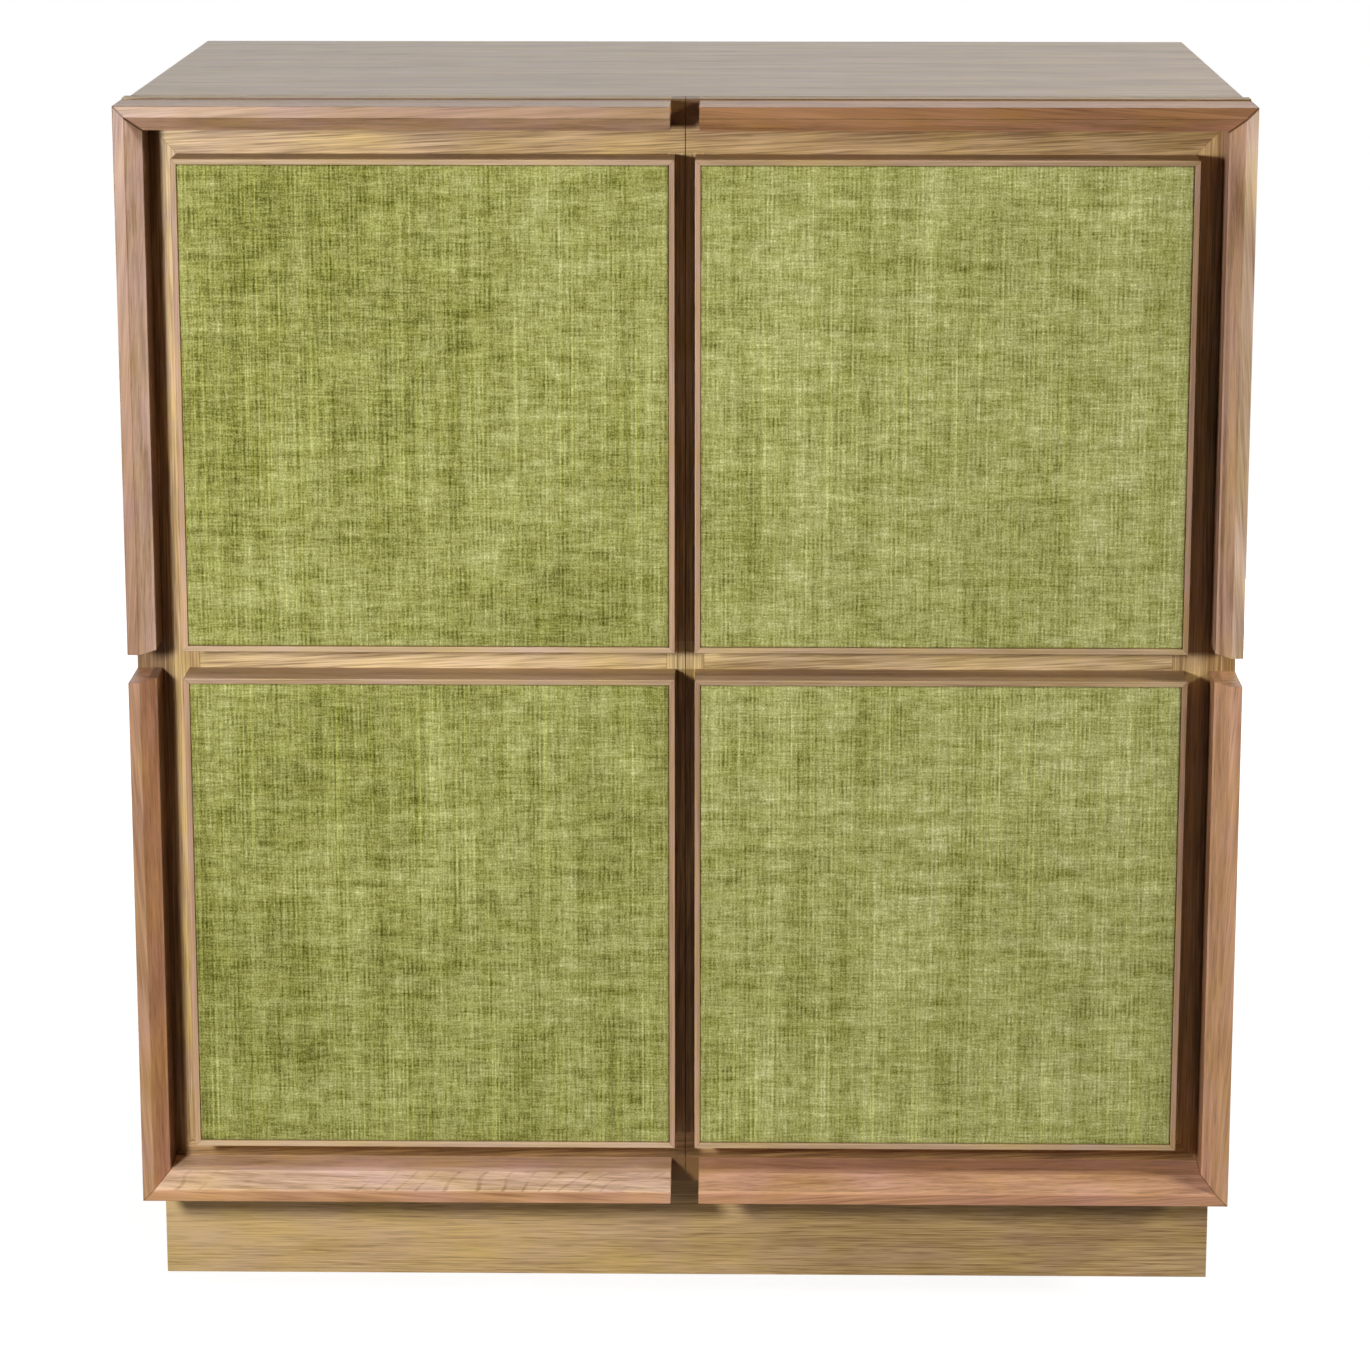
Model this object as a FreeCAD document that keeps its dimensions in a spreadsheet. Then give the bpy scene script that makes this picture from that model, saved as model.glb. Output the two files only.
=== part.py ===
import FreeCAD, Part
import os
import re

# Two-door credenza: a veneered case on a recessed plinth, and two overlay doors with velvet panels.
# Millimetres. X runs to the right, Y to the back, Z up.
# The origin is on the floor, under the middle of the overall box.

SIZES = {
    # Case
    "front_width": 1000,            # over the outer edges of the two doors
    "case_height": 1011,            # underside of the bottom board to the top
    "case_depth": 555,              # front edge of the sides to the back
    "case_inset": 5,                # the case sides lie this far inside the door edges
    "case_board": 18,               # thickness of top, bottom, sides, partition and shelves
    # Plinth
    "plinth_height": 104,
    "plinth_board": 18,
    "plinth_front_setback": 6,      # behind the front edge of the case
    "plinth_side_setback": 3,       # inside the case sides
    "plinth_back_setback": 12,      # in front of the back of the case
    "corner_block": 40,             # side of the square glue blocks
    "corner_block_lift": 12,        # the blocks stay clear of the floor
    # Back panel
    "back_panel": 6,                # thickness, and depth of its rebate
    "back_lap": 9,                  # width of the rebate in the boards
    "back_fit": 0.5,                # clearance of the panel in its rebate
    "back_screw_radius": 1.5,
    "back_screw_head_radius": 3,
    "back_screw_head": 1.5,         # depth of the countersunk head
    "back_screw_length": 20,
    "back_screw_from_end": 70,      # first and last screw from the corners of the case
    # Dowels of the case
    "dowel_radius": 4,
    "dowel_skin": 7,                # wood left over a dowel in the top or bottom board
    "dowel_in_upright": 20,         # depth in the side or partition
    "dowel_from_edge": 60,          # first and last dowel from the front and from the back panel
    "wood_fit": 0.05,               # clearance round dowels, pegs and screws
    # Shelves and their pins
    "shelf_level": 480,             # underside of the shelves above the bottom board
    "shelf_fit": 0.5,               # room between a shelf and the collars of its pins
    "shelf_setback": 25,            # behind the front edge of the case
    "shelf_back_gap": 2,            # in front of the back panel
    "peg_radius": 2.5,
    "peg_web": 4,                   # wood left between two opposite pegs
    "collar_radius": 4,
    "collar_thickness": 1.5,
    "pin_reach": 10,                # length of a pin under its shelf
    "pin_from_edge": 55,            # pins from the front and back edges of the shelf
    "shelf_rest": 0.1,              # room between a shelf and its pins
    # Doors
    "meeting_gap": 0.7,             # between the two doors
    "door_board": 20,               # thickness of board and lippings
    "lipping": 16,                  # width of the solid edge strips
    # Mouldings
    "moulding_depth": 62,           # height above the face of the door board
    "moulding_flat": 10,            # width of the flat front
    "moulding_slope": 13,           # width of the bevel
    "slope_depth": 21,              # depth of the bevel
    "moulding_round": 0.8,          # eased long edges
    "moulding_top_step": 1.2,       # the moulding stops this far under the top of the case
    "notch": 26,                    # gap between mouldings in the middle of each side
    # Velvet panels
    "panel_side_margin": 47.5,      # side of a panel from the outer edge of the door
    "panel_end_margin": 48,         # top or bottom of a panel from the end of the moulding
    "panel_proud": 45,              # height of the rim above the face of the door board
    "centre_channel": 18,           # between the panels of the two doors
    "cross_channel": 25,            # between the upper and lower panels
    "rim": 5,                       # width of the rim strips
    "rim_round": 0.8,               # eased front edges of the rim
    "velvet": 12,                   # thickness of the padded facing
    "velvet_recess": 1.2,           # the facing lies this far below the front of the rim
    "velvet_round": 3,              # rounding of the front edges of the facing
    "pad_fit": 0.3,                 # room round the facing
    "panel_screw_radius": 2,
    "panel_screw_head_radius": 4,
    "panel_screw_head": 2.5,
    "panel_screw_bite": 12,         # depth of the screw in the core of the panel
    "panel_screw_inset": 60,        # from the edges of the panel
    # Hinges
    "hinge_length": 80,
    "hinge_plate": 1.1,             # thickness of a leaf
    "hinge_plate_width": 15,
    "leaf_fit": 0.3,                # room between the two leaves of a closed hinge
    "barrel_radius": 2,
    "barrel_fit": 0.3,              # room between the barrel and the boards
    "knuckle_fit": 0.3,             # room between one knuckle and the next
    "hinge_pin_radius": 1.1,
    "hinge_pin_fit": 0.04,          # running clearance of the pin
    "hinge_pin_head": 1.2,
    "hinge_from_end": 120,          # middle of the end hinges from the ends of the door
    "hinge_screw_radius": 1.4,
    "hinge_screw_head_radius": 2.5,
    "hinge_screw_bite": 13,         # depth of the screw in the wood
    "hinge_screw_from_end": 12,
    # Catches
    "catch_length": 46,
    "catch_depth": 16,
    "catch_height": 14,
    "catch_from_partition": 14,
    "catch_fit": 0.3,               # room between the magnet and the strike plate
    "catch_screw_radius": 1.4,
    "catch_screw_head_radius": 2.6,
    "catch_screw_head": 1.4,
    "catch_screw_bite": 10,
    "catch_screw_from_end": 7,
    "strike_thickness": 1,
    "strike_length": 40,
    "strike_height": 12,
    "strike_peg_radius": 2,
    "strike_peg_length": 9,
}
KNUCKLES = 5
DOWELS_PER_JOINT = 4
SCREWS_PER_UPRIGHT = 4
SCREWS_PER_LEVEL = 3
SCREWS_PER_LEAF = 3
SIDES = ("left", "right")

# Places and sizes that follow from the driving dimensions, as formulas
DOOR_GAP = "(2 * hinge_plate + leaf_fit)"
DEPTH = f"(moulding_depth + door_board + {DOOR_GAP} + case_depth)"
FRONT = f"(-{DEPTH} / 2)"
FACE = f"({FRONT} + moulding_depth)"
DOOR_BACK = f"({FACE} + door_board)"
CASE_FRONT = f"({DOOR_BACK} + {DOOR_GAP})"
CASE_BACK = f"({DEPTH} / 2)"
BASE = "plinth_height"
TOP = "(plinth_height + case_height)"
DOOR_HALF = "(front_width / 2)"
CASE_HALF = f"({DOOR_HALF} - case_inset)"
INSIDE_HALF = f"({CASE_HALF} - case_board)"
INSIDE_LOW = f"({BASE} + case_board)"
INSIDE_HIGH = f"({TOP} - case_board)"
UPRIGHT = "(case_height - 2 * case_board)"
INSIDE_DEPTH = "(case_depth - back_panel)"
BAY = f"({INSIDE_HALF} - case_board / 2)"
MOULDING_WIDTH = "(moulding_flat + moulding_slope)"
MOULDING_TOP = f"({TOP} - moulding_top_step)"
MOULDING_MIDDLE = f"(({BASE} + {MOULDING_TOP}) / 2)"
MOULDING_HEIGHT = "(case_height - moulding_top_step)"
PANEL_WIDTH = f"({DOOR_HALF} - panel_side_margin - centre_channel / 2)"
PANEL_HEIGHT = f"(({MOULDING_HEIGHT} - 2 * panel_end_margin - cross_channel) / 2)"
CORE = "(panel_proud - velvet_recess - velvet - pad_fit)"
BARREL_X = f"({CASE_HALF} + barrel_fit + barrel_radius)"
BARREL_Y = f"({DOOR_BACK} + barrel_fit + barrel_radius)"
CATCH_NEAR = "(case_board / 2 + catch_from_partition)"
CATCH_FRONT = f"({DOOR_BACK} + strike_thickness + catch_fit)"
HINGE_LEVELS = (f"({BASE} + hinge_from_end)", f"({BASE} + case_height / 2)", f"({TOP} - hinge_from_end)")

# Turns that point a shape's own Z along an axis
TURN = {
    "+X": FreeCAD.Rotation(FreeCAD.Vector(0, 1, 0), 90),
    "-X": FreeCAD.Rotation(FreeCAD.Vector(0, 1, 0), -90),
    "+Y": FreeCAD.Rotation(FreeCAD.Vector(1, 0, 0), -90),
    "-Y": FreeCAD.Rotation(FreeCAD.Vector(1, 0, 0), 90),
    "+Z": FreeCAD.Rotation(),
}

doc = FreeCAD.newDocument("credenza")
sheet = doc.addObject("Spreadsheet::Sheet", "Sizes")
for line, (alias, value) in enumerate(SIZES.items(), start=1):
    sheet.set(f"A{line}", alias)
    sheet.set(f"B{line}", str(value))
    sheet.setAlias(f"B{line}", alias)
doc.recompute()

parts = []      # the finished sub-parts
voids = {}      # name of a sub-part: the shapes that are cut out of it


def formula(text):
    """A formula with each driving dimension read from the sheet."""
    return re.sub(r"[a-z_]+", lambda word: f"Sizes.{word.group(0)}", text)


def bind(item, **formulas):
    """Tie properties of a shape to formulas."""
    for name, text in formulas.items():
        item.setExpression(name, formula(text))
    return item


def place(item, point, turn=None):
    """Put a shape's own origin at a point given by three formulas."""
    if turn is not None:
        item.Placement = FreeCAD.Placement(FreeCAD.Vector(), turn)
    for axis, text in zip("xyz", point):
        item.setExpression(f"Placement.Base.{axis}", formula(text))
    return item


def box(name, size, corner):
    """A board from its lowest corner."""
    item = bind(doc.addObject("Part::Box", name), Length=size[0], Width=size[1], Height=size[2])
    return place(item, corner)


def side_box(name, side, near, far, across, upwards):
    """A board on one side of the middle plane, between two distances from it."""
    left_edge = f"(-{far})" if side == "left" else near
    return box(name, (f"({far} - {near})", across[1], upwards[1]), (left_edge, across[0], upwards[0]))


def rod(name, radius, length, start, along):
    """A round bar from the middle of its first end."""
    item = bind(doc.addObject("Part::Cylinder", name), Radius=radius, Height=length)
    return place(item, start, TURN[along])


def taper(name, first, last, length, start, along):
    """A round taper from the middle of its first end."""
    item = bind(doc.addObject("Part::Cone", name), Radius1=first, Radius2=last, Height=length)
    return place(item, start, TURN[along])


def joined(name, pieces):
    """Shapes fused where they meet. Pieces that lie apart stay separate solids."""
    item = doc.addObject("Part::MultiFuse", name)
    item.Shapes = pieces
    return item


def grouped(name, pieces):
    """Separate solids kept as one group."""
    item = doc.addObject("Part::Compound", name)
    item.Links = pieces
    return item


def cut(names, tool):
    """Note a shape that is to be cut out of the named sub-parts."""
    for name in names:
        voids.setdefault(name, []).append(tool)


def finish(name, item):
    """Cut the noted shapes out of a blank and keep it as a sub-part."""
    tools = voids.pop(name, [])
    if tools:
        blank = item
        blank.Label = f"{name}_blank"
        item = doc.addObject("Part::Cut", name)
        item.Base = blank
        item.Tool = tools[0] if len(tools) == 1 else joined(f"{name}_voids", tools)
    item.Label = name
    parts.append(item)


def signed(side, distance):
    """A place on the left or the right of the middle plane."""
    return f"(-{distance})" if side == "left" else distance


def moved(start, along, distance):
    """The point that lies a distance from start along an axis."""
    sign, axis = along
    return [f"({text} {sign} {distance})" if name == axis else text for name, text in zip("XYZ", start)]


def spread(first, last, count):
    """Places at even spacing from first to last."""
    return [f"({first} + ({last} - {first}) * {step} / {count - 1})" for step in range(count)]


def screw(name, kind, head, shank, start, along, head_in, shank_in):
    """A countersunk screw: a head that tapers into the shank. Its holes follow it with a clearance."""
    radius = f"{kind}_radius"
    head_radius = f"{kind}_head_radius"
    neck = moved(start, along, head)
    hole_radius = f"{radius} + wood_fit"
    cut(head_in, taper(f"{name}_sink", f"{head_radius} + wood_fit", hole_radius, head, start, along))
    cut(shank_in, rod(f"{name}_hole", hole_radius, f"{shank} + wood_fit", neck, along))
    return [
        taper(f"{name}_head", head_radius, radius, head, start, along),
        rod(f"{name}_shank", radius, shank, neck, along),
    ]


def edges_at(item, test):
    """Names of the straight edges whose two ends both pass a test."""
    names = []
    for number, edge in enumerate(item.Shape.Edges, start=1):
        if all(test(vertex.Point) for vertex in edge.Vertexes):
            names.append(f"Edge{number}")
    return names


def near(first, second):
    return abs(first - second) < 1e-4


def mitred_strip(name, length, width, height, mitre_start, mitre_end, corner, quarter):
    """A strip along X with its outer edge at Y = 0, cut at 45 degrees at one or both ends.

    It is then turned so that its height points to the front, and by quarter turns round the face of a door.
    """
    body = doc.addObject("PartDesign::Body", name)
    strip = body.newObject("PartDesign::AdditiveWedge", f"{name}_strip")
    bind(strip, Xmin="0", Ymin="0", Zmin="0", Z2min="0", Xmax=length, Ymax=width, Zmax=height, Z2max=height)
    bind(strip, X2min=width if mitre_start else "0")
    bind(strip, X2max=f"({length} - {width})" if mitre_end else length)
    turn = FreeCAD.Rotation(FreeCAD.Vector(0, 1, 0), -90 * quarter) * TURN["-Y"]
    place(body, corner, turn)
    doc.recompute()
    return body, strip


def eased(body, base, name, edges, radius):
    """Round the named edges of a body."""
    fillet = body.newObject("PartDesign::Fillet", name)
    fillet.Base = (base, edges)
    bind(fillet, Radius=radius)
    doc.recompute()
    return fillet


# Dowels that join the uprights to the top and bottom boards
dowels = []
first_row = f"({CASE_FRONT} + dowel_from_edge)"
last_row = f"({CASE_BACK} - back_panel - dowel_from_edge)"
dowel_rows = spread(first_row, last_row, DOWELS_PER_JOINT)
dowel_length = "(case_board - dowel_skin + dowel_in_upright)"
dowel_starts = {"case_bottom": f"({BASE} + dowel_skin)", "case_top": f"({INSIDE_HIGH} - dowel_in_upright)"}
uprights = {
    "case_side_left": f"(-{CASE_HALF} + case_board / 2)",
    "centre_partition": "0",
    "case_side_right": f"({CASE_HALF} - case_board / 2)",
}
for upright, middle in uprights.items():
    for board, level in dowel_starts.items():
        for number, row in enumerate(dowel_rows):
            name = f"dowel_{upright}_{board}_{number}"
            dowels.append(rod(name, "dowel_radius", dowel_length, (middle, row, level), "+Z"))
            hole_start = (middle, row, f"({level} - wood_fit)")
            hole_size = ("dowel_radius + wood_fit", f"{dowel_length} + 2 * wood_fit")
            cut((upright, board), rod(f"{name}_hole", *hole_size, hole_start, "+Z"))
finish("case_dowels", grouped("case_dowels", dowels))

# Back panel, let into a rebate in the boards round it, with its screws
lap_half = f"({INSIDE_HALF} + back_lap)"
lap_low = f"({INSIDE_LOW} - back_lap)"
lap_height = f"({UPRIGHT} + 2 * back_lap)"
panel_front = f"({CASE_BACK} - back_panel)"
rebate_size = (f"2 * {lap_half}", "back_panel", lap_height)
rebate = box("back_rebate", rebate_size, (f"-{lap_half}", panel_front, lap_low))
cut(("case_side_left", "case_side_right", "case_top", "case_bottom"), rebate)
screw_places = []
upright_ends = (f"({BASE} + back_screw_from_end)", f"({TOP} - back_screw_from_end)")
for side in SIDES:
    for level in spread(*upright_ends, SCREWS_PER_UPRIGHT):
        screw_places.append((f"case_side_{side}", signed(side, f"({INSIDE_HALF} + back_lap / 2)"), level))
level_ends = (f"(back_screw_from_end - {CASE_HALF})", f"({CASE_HALF} - back_screw_from_end)")
lap_middles = {"case_bottom": f"({INSIDE_LOW} - back_lap / 2)", "case_top": f"({INSIDE_HIGH} + back_lap / 2)"}
for board, level in lap_middles.items():
    for across in spread(*level_ends, SCREWS_PER_LEVEL):
        screw_places.append((board, across, level))
back_screws = []
for number, (board, across, level) in enumerate(screw_places):
    shank = "(back_screw_length - back_screw_head)"
    start = (across, CASE_BACK, level)
    name = f"back_screw_{number}"
    nodes = ["back_panel", board]
    back_screws += screw(name, "back_screw", "back_screw_head", shank, start, "-Y", nodes[:1], nodes)
back_size = (f"2 * ({lap_half} - back_fit)", "back_panel", f"({lap_height} - 2 * back_fit)")
back_corner = (f"(back_fit - {lap_half})", panel_front, f"({lap_low} + back_fit)")
finish("back_panel", box("back_sheet", back_size, back_corner))
finish("back_panel_screws", joined("back_panel_screws", back_screws))

# Shelf pins: a peg in the upright, a collar against it and a round rest under the shelf
pins = []
shelf_underside = f"({INSIDE_LOW} + shelf_level)"
shelf_front = f"({CASE_FRONT} + shelf_setback)"
shelf_depth = f"({INSIDE_DEPTH} - shelf_setback - shelf_back_gap)"
pin_rows = (f"({shelf_front} + pin_from_edge)", f"({shelf_front} + {shelf_depth} - pin_from_edge)")
pin_level = f"({shelf_underside} - shelf_rest - peg_radius)"
peg_depth = "((case_board - peg_web) / 2)"
walls = (
    ("case_side_left", f"(-{INSIDE_HALF})", "+X", "-X"),
    ("centre_partition", "(-case_board / 2)", "-X", "+X"),
    ("centre_partition", "(case_board / 2)", "+X", "-X"),
    ("case_side_right", INSIDE_HALF, "-X", "+X"),
)
for wall, (upright, surface, out_of_wood, into_wood) in enumerate(walls):
    for number, row in enumerate(pin_rows):
        name = f"shelf_pin_{wall}_{number}"
        start = (surface, row, pin_level)
        pins += [
            rod(f"{name}_peg", "peg_radius", peg_depth, start, into_wood),
            rod(f"{name}_collar", "collar_radius", "collar_thickness", start, out_of_wood),
            rod(f"{name}_rest", "peg_radius", "pin_reach", start, out_of_wood),
        ]
        hole_size = ("peg_radius + wood_fit", f"{peg_depth} + wood_fit")
        cut([upright], rod(f"{name}_hole", *hole_size, start, into_wood))
finish("shelf_pins", joined("shelf_pins", pins))

# Shelves
for side in SIDES:
    inner = "(case_board / 2 + collar_thickness + shelf_fit)"
    outer = f"({INSIDE_HALF} - collar_thickness - shelf_fit)"
    rise = (shelf_underside, "case_board")
    finish(f"shelf_{side}", side_box(f"{side}_shelf", side, inner, outer, (shelf_front, shelf_depth), rise))

# Hinges: two leaves with interlocking knuckles, on a pin
leaves = {"case": [], "left": [], "right": []}
hinge_pins = []
hinge_screws = {"case": [], "left": [], "right": []}
knuckle_pitch = f"(hinge_length / {KNUCKLES})"
for side in SIDES:
    for place_number, level in enumerate(HINGE_LEVELS):
        foot = f"({level} - hinge_length / 2)"
        axis_foot = (signed(side, BARREL_X), BARREL_Y, foot)
        name = f"{side}_hinge_{place_number}"
        door_wood = [f"{side}_door_hinge_lipping", f"{side}_door_board"]
        plates = {
            "case": (f"({CASE_FRONT} - hinge_plate)", "+Y", "hinge_case_leaves", [f"case_side_{side}"]),
            side: (DOOR_BACK, "-Y", f"{side}_door_hinge_leaves", door_wood),
        }
        for holder, (low, into_wood, node, wood) in plates.items():
            across = (low, "hinge_plate")
            rise = (foot, "hinge_length")
            plate_edge = f"({CASE_HALF} - hinge_plate_width)"
            pieces = [side_box(f"{name}_{holder}_plate", side, plate_edge, CASE_HALF, across, rise)]
            for knuckle in range(0 if holder == "case" else 1, KNUCKLES, 2):
                start = f"({foot} + {knuckle_pitch} * {knuckle} + knuckle_fit / 2)"
                length = f"({knuckle_pitch} - knuckle_fit)"
                label = f"{name}_{holder}_knuckle_{knuckle}"
                pieces.append(rod(label, "barrel_radius", length, (*axis_foot[:2], start), "+Z"))
                tab_edge = f"({CASE_HALF} - barrel_radius)"
                pieces.append(side_box(f"{label}_tab", side, tab_edge, BARREL_X, across, (start, length)))
            leaves[holder].append(joined(f"{name}_{holder}_leaf", pieces))
            bore_radius = "hinge_pin_radius + hinge_pin_fit"
            cut([node], rod(f"{name}_{holder}_bore", bore_radius, "hinge_length", axis_foot, "+Z"))
            surface = low if holder == "case" else f"({low} + hinge_plate)"
            screw_across = signed(side, f"({CASE_HALF} - hinge_plate_width / 2)")
            ends = (f"({foot} + hinge_screw_from_end)", f"({foot} + hinge_length - hinge_screw_from_end)")
            for number, height in enumerate(spread(*ends, SCREWS_PER_LEAF)):
                label = f"{name}_{holder}_screw_{number}"
                start = (screw_across, surface, height)
                hinge_screws[holder] += screw(
                    label, "hinge_screw", "hinge_plate", "hinge_screw_bite", start, into_wood, [node], wood
                )
        pin = rod(f"{name}_pin", "hinge_pin_radius", "hinge_length", axis_foot, "+Z")
        axis_head = moved(axis_foot, "+Z", "hinge_length")
        head = rod(f"{name}_pin_head", "barrel_radius", "hinge_pin_head", axis_head, "+Z")
        hinge_pins += [pin, head]
finish("hinge_case_leaves", grouped("hinge_case_leaves", leaves["case"]))
finish("hinge_case_screws", joined("hinge_case_screws", hinge_screws["case"]))
finish("hinge_pins", joined("hinge_pins", hinge_pins))

# Magnetic catches under the top, one for each door
catches = []
catch_screws = []
for side in SIDES:
    far = f"({CATCH_NEAR} + catch_length)"
    catch_low = f"({INSIDE_HIGH} - catch_height)"
    across = (CATCH_FRONT, "catch_depth")
    catches.append(side_box(f"{side}_catch", side, CATCH_NEAR, far, across, (catch_low, "catch_height")))
    ends = (f"({CATCH_NEAR} + catch_screw_from_end)", f"({far} - catch_screw_from_end)")
    for number, end in enumerate(ends):
        start = (signed(side, end), f"({CATCH_FRONT} + catch_depth / 2)", catch_low)
        shank = "(catch_height - catch_screw_head + catch_screw_bite)"
        name = f"{side}_catch_screw_{number}"
        nodes = ["door_catches", "case_top"]
        catch_screws += screw(name, "catch_screw", "catch_screw_head", shank, start, "+Z", nodes[:1], nodes)
finish("door_catches", grouped("door_catches", catches))
finish("catch_screws", joined("catch_screws", catch_screws))

# Case boards: top and bottom lap over the sides
level_size = (f"2 * {CASE_HALF}", "case_depth", "case_board")
finish("case_bottom", box("bottom_board", level_size, (f"-{CASE_HALF}", CASE_FRONT, BASE)))
finish("case_top", box("top_board", level_size, (f"-{CASE_HALF}", CASE_FRONT, INSIDE_HIGH)))
for side in SIDES:
    blank = side_box(
        f"{side}_side_board", side, INSIDE_HALF, CASE_HALF, (CASE_FRONT, "case_depth"), (INSIDE_LOW, UPRIGHT)
    )
    finish(f"case_side_{side}", blank)
partition_size = ("case_board", INSIDE_DEPTH, UPRIGHT)
partition_corner = ("-case_board / 2", CASE_FRONT, INSIDE_LOW)
finish("centre_partition", box("partition_board", partition_size, partition_corner))

# Plinth: four boards under the case, with glue blocks in the corners
plinth_half = f"({CASE_HALF} - plinth_side_setback)"
plinth_front = f"({CASE_FRONT} + plinth_front_setback)"
plinth_back = f"({CASE_BACK} - plinth_back_setback)"
plinth_size = (f"2 * {plinth_half}", "plinth_board", "plinth_height")
plinth_inside = f"({plinth_half} - plinth_board)"
plinth_run = (f"({plinth_front} + plinth_board)", f"({plinth_back} - {plinth_front} - 2 * plinth_board)")
finish("plinth_front", box("plinth_front_board", plinth_size, (f"-{plinth_half}", plinth_front, "0")))
back_corner = (f"-{plinth_half}", f"({plinth_back} - plinth_board)", "0")
finish("plinth_back", box("plinth_back_board", plinth_size, back_corner))
blocks = []
for side in SIDES:
    rise = ("0", "plinth_height")
    board = side_box(f"{side}_plinth_board", side, plinth_inside, plinth_half, plinth_run, rise)
    finish(f"plinth_side_{side}", board)
    block_rows = {"front": plinth_run[0], "back": f"({plinth_back} - plinth_board - corner_block)"}
    for end, row in block_rows.items():
        rise = ("corner_block_lift", "(plinth_height - corner_block_lift)")
        block_edge = f"({plinth_inside} - corner_block)"
        label = f"{side}_{end}_block"
        blocks.append(side_box(label, side, block_edge, plinth_inside, (row, "corner_block"), rise))
finish("plinth_corner_blocks", grouped("plinth_corner_blocks", blocks))


def panel(side, story, low):
    """A velvet panel: a rim of four mitred strips round a core board, with a padded facing in front."""
    name = f"{side}_door_{story}_panel"
    left_edge = f"(panel_side_margin - {DOOR_HALF})" if side == "left" else "(centre_channel / 2)"
    right_edge = f"({left_edge} + {PANEL_WIDTH})"
    high = f"({low} + {PANEL_HEIGHT})"
    corners = ((left_edge, low), (right_edge, low), (right_edge, high), (left_edge, high))
    strips = []
    for quarter, (across, level) in enumerate(corners):
        length = PANEL_HEIGHT if quarter % 2 else PANEL_WIDTH
        label = f"{name}_strip_{quarter}"
        corner = (across, FACE, level)
        body, strip = mitred_strip(label, length, "rim", "panel_proud", True, True, corner, quarter)
        long_edges = []
        for edge in (0, sheet.rim):
            front = sheet.panel_proud
            long_edges += edges_at(strip, lambda point: near(point.z, front) and near(point.y, edge))
        eased(body, strip, f"{label}_round", long_edges, "rim_round")
        strips.append(body)
    finish(f"{name}_rim", grouped(f"{name}_rim", strips))

    core_size = (f"({PANEL_WIDTH} - 2 * rim)", CORE, f"({PANEL_HEIGHT} - 2 * rim)")
    core_corner = (f"({left_edge} + rim)", f"({FACE} - {CORE})", f"({low} + rim)")
    rows = (f"({low} + panel_screw_inset)", f"({high} - panel_screw_inset)")
    columns = (f"({left_edge} + panel_screw_inset)", f"({right_edge} - panel_screw_inset)")
    screws = []
    for number, (across, level) in enumerate((column, row) for column in columns for row in rows):
        shank = "(door_board - panel_screw_head + panel_screw_bite)"
        start = (across, DOOR_BACK, level)
        nodes = [f"{side}_door_board", f"{name}_core"]
        label = f"{name}_screw_{number}"
        screws += screw(label, "panel_screw", "panel_screw_head", shank, start, "-Y", nodes[:1], nodes)
    finish(f"{name}_core", box(f"{name}_board", core_size, core_corner))

    body = doc.addObject("PartDesign::Body", f"{name}_pad")
    pad = body.newObject("PartDesign::AdditiveBox", f"{name}_pad_block")
    bind(pad, Length=f"({PANEL_WIDTH} - 2 * rim - 2 * pad_fit)", Height="velvet")
    bind(pad, Width=f"({PANEL_HEIGHT} - 2 * rim - 2 * pad_fit)")
    pad_in = "(rim + pad_fit)"
    pad_corner = (f"({left_edge} + {pad_in})", f"({FACE} - {CORE} - pad_fit)", f"({low} + {pad_in})")
    place(body, pad_corner, TURN["-Y"])
    doc.recompute()
    front_edges = edges_at(pad, lambda point: near(point.z, sheet.velvet))
    eased(body, pad, f"{name}_pad_round", front_edges, "velvet_round")
    finish(f"{name}_velvet", body)
    return screws


# Panels, from the bottom of the door up
for side in SIDES:
    panel_screws = []
    for story, low in (
        ("lower", f"({BASE} + panel_end_margin)"),
        ("upper", f"({MOULDING_TOP} - panel_end_margin - {PANEL_HEIGHT})"),
    ):
        panel_screws += panel(side, story, low)
    finish(f"{side}_door_panel_screws", joined(f"{side}_door_panel_screws", panel_screws))

# Strike plates: a thin plate with a peg that is driven into the back of the door
for side in SIDES:
    strike_near = f"({CATCH_NEAR} + (catch_length - strike_length) / 2)"
    strike_low = f"({INSIDE_HIGH} - catch_height / 2 - strike_height / 2)"
    plate = side_box(
        f"{side}_strike", side, strike_near, f"({strike_near} + strike_length)",
        (DOOR_BACK, "strike_thickness"), (strike_low, "strike_height"),
    )
    strike_middle = signed(side, f"({strike_near} + strike_length / 2)")
    peg_start = (strike_middle, DOOR_BACK, f"({strike_low} + strike_height / 2)")
    peg = rod(f"{side}_strike_peg", "strike_peg_radius", "strike_peg_length", peg_start, "-Y")
    hole_size = ("strike_peg_radius + wood_fit", "strike_peg_length + wood_fit")
    cut([f"{side}_door_board"], rod(f"{side}_strike_hole", *hole_size, peg_start, "-Y"))
    finish(f"{side}_door_strike_plate", joined(f"{side}_door_strike_plate", [plate, peg]))

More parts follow.
